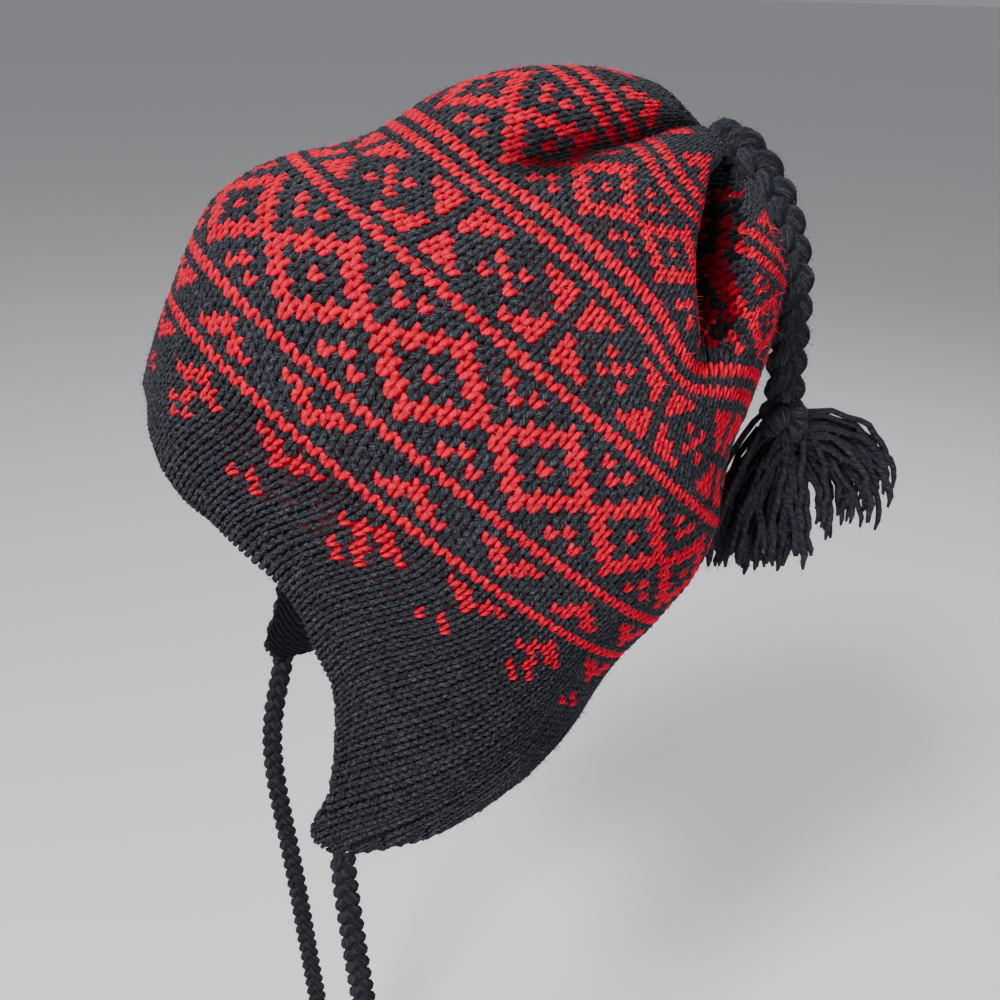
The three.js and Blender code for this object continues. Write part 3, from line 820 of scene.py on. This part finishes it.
def tassel_strands(knot, spread, locks, thick, rng, clump):
    strands = []
    for x, y, z, bow, count in locks:
        tip = np.array([x, y, z], float)
        chord = tip - knot
        across = np.array([0, -chord[2], chord[1]])
        across /= np.linalg.norm(across)
        for _ in range(count):
            lean_out = rng.normal(0, 1, 3)
            start = knot + chord / np.linalg.norm(chord) * spread * 0.35 + lean_out * spread * 0.22
            end = tip + rng.normal(0, clump, 3) + chord * rng.uniform(-0.12, 0.03)
            swing = across * bow * rng.uniform(0.9, 1.5) + rng.normal(0, clump * 1.6, 3) * (1, 1, 0.4)
            strands.append(hanging_strand(start, end, swing, 11, thick * rng.uniform(0.85, 1.1), rng))
    return strands


TAIL_ROUTE = [
    (0, 72.4, 70.3), (0.8, 75.8, 72), (2.8, 80, 70.3), (5.5, 84.6, 66), (8.2, 88.8, 60.3),
    (10.5, 92.5, 53.6), (12.3, 95.8, 46), (13.6, 98.6, 37.8), (14.5, 100.8, 29.5), (15, 102.2, 21),
    (15, 103, 12), (15, 103.4, 2), (15, 103.9, -8), (15, 104.5, -16), (15, 105, -22),
]
LEFT_TIE_ROUTE = [
    (68.5, -79.5, -156.4), (68.5, -79.2, -164), (68.4, -78.6, -173), (68.2, -77.6, -184), (68, -76.4, -197),
    (67.8, -75, -211), (67.6, -73.4, -226), (67.5, -71.7, -242), (67.4, -70, -258), (67.3, -68.4, -275),
    (67.2, -67, -292), (67.1, -65.8, -309), (67, -64.8, -326), (67, -64, -343), (67, -63.4, -360),
    (67, -63, -377), (67, -62.8, -392), (67, -62.7, -404),
]
RIGHT_TIE_ROUTE = [
    (-68.5, -80.5, -156.3), (-68.5, -81.5, -163), (-68.5, -83.6, -173), (-68.5, -86, -185),
    (-68.5, -87.7, -199), (-68.5, -87.9, -214), (-68.5, -86.8, -230), (-68.5, -85, -247),
    (-68.5, -83, -264), (-68.5, -81.1, -281), (-68.5, -79.4, -298), (-68.5, -77.8, -315),
    (-68.5, -76.2, -332), (-68.5, -74.6, -349), (-68.5, -73, -366), (-68.5, -71.6, -382),
    (-68.5, -70.6, -394), (-68.5, -70, -404),
]


def length_of(route):
    return float(route_points(route, 1.0)[1][-1])


# Materials

RED = (0.7, 0.004, 0.03)
RED_FIBRE = (1.0, 0.03, 0.085)
CHARCOAL = (0.013, 0.014, 0.019)
CHARCOAL_FIBRE = (0.21, 0.215, 0.25)
CHARCOAL_FLUFF = (0.085, 0.086, 0.096)
# Colour, fibre colour, plies, twist, fibre scale, fibre share, relief in metres, sheen
YARNS = {
    "red_yarn": (RED, RED_FIBRE, 2, 1.6, 7, 1.0, 0.0009, 0.0),
    "charcoal_yarn": (CHARCOAL, CHARCOAL_FIBRE, 2, 1.6, 7, 0.58, 0.0007, 0.1),
    "braid_yarn": (CHARCOAL, CHARCOAL_FIBRE, 8, 0.8, 6, 0.28, 0.0008, 0.08),
    "tassel_yarn": (CHARCOAL, CHARCOAL_FIBRE, 2, 1.5, 6, 0.28, 0.0006, 0.08),
    "red_fluff": (RED_FIBRE, RED_FIBRE, 0, 1, 7, 0, 0.0001, 0.0),
    "charcoal_fluff": (CHARCOAL_FLUFF, CHARCOAL_FLUFF, 0, 1, 7, 0, 0.0001, 0.0),
}


def socket(group, name, direction, kind, value=None):
    item = group.interface.new_socket(name=name, in_out=direction, socket_type=kind)
    if value is not None:
        item.default_value = value
    return item


def math_nodes(tree):
    """A short way to add Math nodes to a tree: numbers are set, sockets are linked."""
    def math_node(operation, *values):
        node = tree.nodes.new("ShaderNodeMath")
        node.operation = operation
        for slot_number, value in enumerate(values):
            if isinstance(value, (int, float)):
                node.inputs[slot_number].default_value = value
            else:
                tree.links.new(value, node.inputs[slot_number])
        return node.outputs[0]
    return math_node


def build_yarn_group():
    """Yarn colour and relief: plies twisted round the strand, fibres along it, a tone for each strand;
    shade is painted into the colour in the grooves between plies, in gathers and on the legs' sides.
    """
    group = bpy.data.node_groups.new("plied_yarn", "ShaderNodeTree")
    socket(group, "Colour", "INPUT", "NodeSocketColor", (0.5, 0.5, 0.5, 1))
    socket(group, "Fibre colour", "INPUT", "NodeSocketColor", (0.8, 0.8, 0.8, 1))
    socket(group, "Plies", "INPUT", "NodeSocketFloat", 2.0)
    socket(group, "Twist", "INPUT", "NodeSocketFloat", 2.0)
    socket(group, "Fibre scale", "INPUT", "NodeSocketFloat", 9.0)
    socket(group, "Fibre share", "INPUT", "NodeSocketFloat", 0.3)
    socket(group, "Colour", "OUTPUT", "NodeSocketColor")
    socket(group, "Height", "OUTPUT", "NodeSocketFloat")
    nodes, links = group.nodes, group.links
    given = nodes.new("NodeGroupInput")
    result = nodes.new("NodeGroupOutput")
    lay = nodes.new("ShaderNodeAttribute")
    lay.attribute_name = "lay"
    parts = nodes.new("ShaderNodeSeparateXYZ")
    links.new(lay.outputs["Vector"], parts.inputs[0])
    math_node = math_nodes(group)
    around = math_node("MULTIPLY", parts.outputs["X"], given.outputs["Plies"])
    along = math_node("MULTIPLY", parts.outputs["Y"], given.outputs["Twist"])
    spiral = math_node("MULTIPLY", math_node("ADD", around, along), 2 * math.pi)
    ply = math_node("ABSOLUTE", math_node("SINE", math_node("MULTIPLY", spiral, 0.5)))
    place = nodes.new("ShaderNodeCombineXYZ")
    links.new(math_node("MULTIPLY", math_node("ADD", around, along), 1.6), place.inputs[0])
    links.new(math_node("MULTIPLY", parts.outputs["Y"], 0.3), place.inputs[1])
    links.new(math_node("MULTIPLY", parts.outputs["Z"], 37.0), place.inputs[2])
    fibres = nodes.new("ShaderNodeTexNoise")
    fibres.inputs["Detail"].default_value = 4
    fibres.inputs["Roughness"].default_value = 0.7
    links.new(place.outputs[0], fibres.inputs["Vector"])
    links.new(given.outputs["Fibre scale"], fibres.inputs["Scale"])
    where = nodes.new("ShaderNodeTexCoord")
    fluff = nodes.new("ShaderNodeTexNoise")
    fluff.inputs["Scale"].default_value = 2600
    fluff.inputs["Detail"].default_value = 3
    links.new(where.outputs["Object"], fluff.inputs["Vector"])
    tone = nodes.new("ShaderNodeTexNoise")
    tone.inputs["Scale"].default_value = 45
    tone.inputs["Detail"].default_value = 3
    links.new(where.outputs["Object"], tone.inputs["Vector"])
    mask = nodes.new("ShaderNodeMapRange")
    mask.inputs["From Min"].default_value = 0.48
    mask.inputs["From Max"].default_value = 0.64
    links.new(math_node("ADD", math_node("MULTIPLY", fibres.outputs["Fac"], 0.75),
                        math_node("MULTIPLY", fluff.outputs["Fac"], 0.25)), mask.inputs["Value"])
    share = math_node("MULTIPLY", mask.outputs[0], given.outputs["Fibre share"])
    mix = nodes.new("ShaderNodeMix")
    mix.data_type = "RGBA"
    links.new(share, mix.inputs["Factor"])
    links.new(given.outputs["Colour"], mix.inputs["A"])
    links.new(given.outputs["Fibre colour"], mix.inputs["B"])
    # A random tone for each strand and patch, and shade painted in the grooves between the plies
    shade = math_node("ADD", math_node("MULTIPLY", parts.outputs["Z"], 0.16),
                      math_node("MULTIPLY", tone.outputs["Fac"], 0.3))
    shade = math_node("ADD", shade, math_node("MULTIPLY", ply, 0.3))
    shade = math_node("ADD", shade, 0.55)
    # Painted shade from a mesh's painted_shade attribute, where it carries one: in gathers and on the legs'
    # sides
    painted_shade = nodes.new("ShaderNodeAttribute")
    painted_shade.attribute_name = "painted_shade"
    lit = math_node("SUBTRACT", 1.0, math_node("MULTIPLY", painted_shade.outputs["Fac"], 0.93))
    shade = math_node("MULTIPLY", shade, lit)
    dim = nodes.new("ShaderNodeHueSaturation")
    links.new(mix.outputs["Result"], dim.inputs["Color"])
    links.new(shade, dim.inputs["Value"])
    links.new(dim.outputs["Color"], result.inputs["Colour"])
    height = math_node("ADD", math_node("MULTIPLY", ply, 0.55),
                       math_node("MULTIPLY", fibres.outputs["Fac"], 0.55))
    height = math_node("ADD", height, math_node("MULTIPLY", fluff.outputs["Fac"], 0.35))
    links.new(height, result.inputs["Height"])
    return group


def yarn_material(name, group, colour, fibre, plies, twist, fibre_scale, fibre_share, relief, sheen):
    material = bpy.data.materials.new(name)
    material.use_nodes = True
    nodes, links = material.node_tree.nodes, material.node_tree.links
    shader = nodes["Principled BSDF"]
    shader.inputs["Roughness"].default_value = 1.0
    shader.inputs["Specular IOR Level"].default_value = 0.04
    shader.inputs["Sheen Weight"].default_value = sheen
    shader.inputs["Sheen Roughness"].default_value = 0.45
    shader.inputs["Sheen Tint"].default_value = (*fibre, 1)
    yarn = nodes.new("ShaderNodeGroup")
    yarn.node_tree = group
    yarn.inputs["Colour"].default_value = (*colour, 1)
    yarn.inputs["Fibre colour"].default_value = (*fibre, 1)
    yarn.inputs["Plies"].default_value = plies
    yarn.inputs["Twist"].default_value = twist
    yarn.inputs["Fibre scale"].default_value = fibre_scale
    yarn.inputs["Fibre share"].default_value = fibre_share
    bump = nodes.new("ShaderNodeBump")
    bump.inputs["Distance"].default_value = relief
    bump.inputs["Strength"].default_value = 1.0
    links.new(yarn.outputs["Colour"], shader.inputs["Base Color"])
    links.new(yarn.outputs["Height"], bump.inputs["Height"])
    links.new(bump.outputs["Normal"], shader.inputs["Normal"])
    return material


def ground_material():
    """Behind the stitches: dark, with red floats in the patterned rows; inside, rows of purl bumps."""
    material = bpy.data.materials.new("knit_ground")
    material.use_nodes = True
    nodes, links = material.node_tree.nodes, material.node_tree.links
    shader = nodes["Principled BSDF"]
    shader.inputs["Roughness"].default_value = 0.95
    shader.inputs["Specular IOR Level"].default_value = 0.1
    lay = nodes.new("ShaderNodeAttribute")
    lay.attribute_name = "lay"
    parts = nodes.new("ShaderNodeSeparateXYZ")
    links.new(lay.outputs["Vector"], parts.inputs[0])
    math_node = math_nodes(material.node_tree)
    column, row, inside = parts.outputs["X"], parts.outputs["Y"], parts.outputs["Z"]
    place = nodes.new("ShaderNodeCombineXYZ")
    links.new(math_node("MULTIPLY", column, 0.9), place.inputs[0])
    links.new(math_node("MULTIPLY", row, 1.1), place.inputs[1])
    specks = nodes.new("ShaderNodeTexNoise")
    specks.inputs["Scale"].default_value = 1.0
    specks.inputs["Detail"].default_value = 1
    links.new(place.outputs[0], specks.inputs["Vector"])
    patterned = math_node("MULTIPLY", math_node("GREATER_THAN", row, LOWEST_PATTERN_ROW - 0.5),
                          math_node("LESS_THAN", row, HIGHEST_PATTERN_ROW + 0.5))
    seen = math_node("MULTIPLY", math_node("GREATER_THAN", specks.outputs["Fac"], 0.52), patterned)
    mix = nodes.new("ShaderNodeMix")
    mix.data_type = "RGBA"
    links.new(seen, mix.inputs["Factor"])
    mix.inputs["A"].default_value = (0.012, 0.013, 0.017, 1)
    mix.inputs["B"].default_value = (0.3, 0.02, 0.03, 1)
    chart = nodes.new("ShaderNodeAttribute")
    chart.attribute_name = "chart"
    under = nodes.new("ShaderNodeMix")
    under.data_type = "RGBA"
    outside = math_node("SUBTRACT", 1.0, inside)
    links.new(math_node("MULTIPLY", chart.outputs["Fac"], outside), under.inputs["Factor"])
    links.new(mix.outputs["Result"], under.inputs["A"])
    under.inputs["B"].default_value = (*RED, 1)
    links.new(under.outputs["Result"], shader.inputs["Base Color"])
    bars = math_node("SINE", math_node("MULTIPLY", row, 2 * math.pi))
    slanted = math_node("ADD", column, math_node("MULTIPLY", row, 0.5))
    beads = math_node("SINE", math_node("MULTIPLY", slanted, 2 * math.pi))
    purl = math_node("MULTIPLY", math_node("ADD", bars, math_node("MULTIPLY", beads, 0.5)), inside)
    bump = nodes.new("ShaderNodeBump")
    bump.inputs["Distance"].default_value = 0.0012
    links.new(purl, bump.inputs["Height"])
    links.new(bump.outputs["Normal"], shader.inputs["Normal"])
    return material


# Build the pieces

def paint(obj, material):
    obj.data.materials.clear()
    obj.data.materials.append(material)


plied_yarn = build_yarn_group()
yarns = {name: yarn_material(name, plied_yarn, *row) for name, row in YARNS.items()}

wall = knit_wall()
paint(wall, ground_material())
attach(wall, "root")
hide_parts("knit_body")
rng = np.random.default_rng(5)
dark_fibres = []
for name, obj in knit_stitches().items():
    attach(obj, "root")
    if name == "pattern_stitches":
        paint(obj, yarns["red_yarn"])
        red = joined("red_fibres", [fibres(obj, leg_tops(obj, 15000, rng), 3.8, 1.0, rng)])
    else:
        paint(obj, yarns["charcoal_yarn"])
        dark_fibres.append(fibres(obj, leg_tops(obj, 6500, rng), 3.2, 0.9, rng))
dark = joined("dark_fibres", dark_fibres)
paint(red, yarns["red_fluff"])
paint(dark, yarns["charcoal_fluff"])
for obj in (red, dark):
    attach(obj, "root")

cord_fibres = []
tail = braid("braided_tail", TAIL_ROUTE, TAIL_DIAMETER, 10.5, (1, 0.15, 0), 14, 0.9)
paint(tail, yarns["braid_yarn"])
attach(tail, "root")
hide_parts("top_braid")

tassel = joined("tassel", knot_strands(CROWN_KNOT, 21, 4.2, 12, 0.5)
                + tassel_strands(CROWN_KNOT, 15, TASSEL_LOCKS, 2.5, rng, 1.9))
paint(tassel, yarns["tassel_yarn"])
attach(tassel, "root")
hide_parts("crown_tassel")
length_of(TAIL_ROUTE) * MM
[tuple(np.array(p) * MM) for p in route_points(TAIL_ROUTE, 4)[0]]

for obj, count in ((tail, 3500), (tassel, 4500)):
    cord_fibres.append(fibres(obj, rng.integers(0, len(obj.data.vertices), count), 4.0, 1.7, rng))

for side, route, knot in (("left", LEFT_TIE_ROUTE, LEFT_KNOT), ("right", RIGHT_TIE_ROUTE, RIGHT_KNOT)):
    tie = braid(side + "_braided_tie", route, TIE_DIAMETER, 6.2, (1, -0.3, 0), 10, 0.9)
    paint(tie, yarns["braid_yarn"])
    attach(tie, "root")
    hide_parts(side + "_tie")
    tuft_locks = [
        (knot[0] + 5 * math.cos(a), knot[1] + 5 * math.sin(a), knot[2] - 25, 1.0, 7)
        for a in np.radians((0, 72, 144, 216, 288))
    ]
    tuft = joined(side + "_tie_tuft", knot_strands(knot, 14, 2.5, 10, 0.4)
                  + tassel_strands(knot, 9, tuft_locks, 1.9, rng, 1.0))
    paint(tuft, yarns["tassel_yarn"])
    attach(tuft, "root")
    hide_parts(side + "_tie_end")
    length_of(route) * MM
    [tuple(np.array(p) * MM) for p in route_points(route, 5)[0]]
    for obj, count in ((tie, 1500), (tuft, 400)):
        cord_fibres.append(fibres(obj, rng.integers(0, len(obj.data.vertices), count), 3.5, 1.3, rng))

loose = joined("cord_fibres", cord_fibres)
paint(loose, yarns["charcoal_fluff"])
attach(loose, "root")


# Floor, light and camera

def plain_material(name, colour, roughness):
    material = bpy.data.materials.new(name)
    material.use_nodes = True
    shader = material.node_tree.nodes["Principled BSDF"]
    shader.inputs["Base Color"].default_value = (*colour, 1)
    shader.inputs["Roughness"].default_value = roughness
    return material


bpy.ops.mesh.primitive_plane_add(size=80, location=(0, 0, -0.46))
floor = bpy.context.object
floor.name = "floor"
paint(floor, plain_material("pale_floor", (0.80, 0.80, 0.81), 0.6))

world = bpy.data.worlds.new("studio")
bpy.context.scene.world = world
world.use_nodes = True
world.node_tree.nodes["Background"].inputs["Color"].default_value = (0.86, 0.88, 0.92, 1)
world.node_tree.nodes["Background"].inputs["Strength"].default_value = 0.32


def area_light(name, place, target, size, energy, colour=(1, 1, 1)):
    data = bpy.data.lights.new(name, "AREA")
    data.shape = "DISK"
    data.size = size
    data.energy = energy
    data.color = colour
    light = bpy.data.objects.new(name, data)
    bpy.context.collection.objects.link(light)
    direction = np.array(target, float) - np.array(place, float)
    turned = Vector(direction).to_track_quat("-Z", "Y").to_matrix().to_4x4()
    light.matrix_world = Matrix.Translation(place) @ turned


area_light("key", (0.7, -0.8, 1.0), (0, 0, 0), 0.35, 36, (1, 0.98, 0.96))
area_light("fill", (0.95, 0.15, 0.4), (0, 0, -0.05), 0.8, 6)
area_light("rim", (-0.6, 0.8, 0.9), (0, 0.05, 0.05), 0.5, 10, (0.95, 0.97, 1))

RIGHT = (0.3015, 0.953, 0.0307)
UP = (-0.4007, 0.0974, 0.911)
BACK = (0.8652, -0.287, 0.4112)
camera_data = bpy.data.cameras.new("camera")
camera_data.lens = 41.98
camera_data.sensor_width = 36
camera = bpy.data.objects.new("camera", camera_data)
bpy.context.collection.objects.link(camera)
camera.matrix_world = Matrix((
    (RIGHT[0], UP[0], BACK[0], 0.3854),
    (RIGHT[1], UP[1], BACK[1], -0.1315),
    (RIGHT[2], UP[2], BACK[2], 0.1236),
    (0, 0, 0, 1),
))
bpy.context.scene.camera = camera
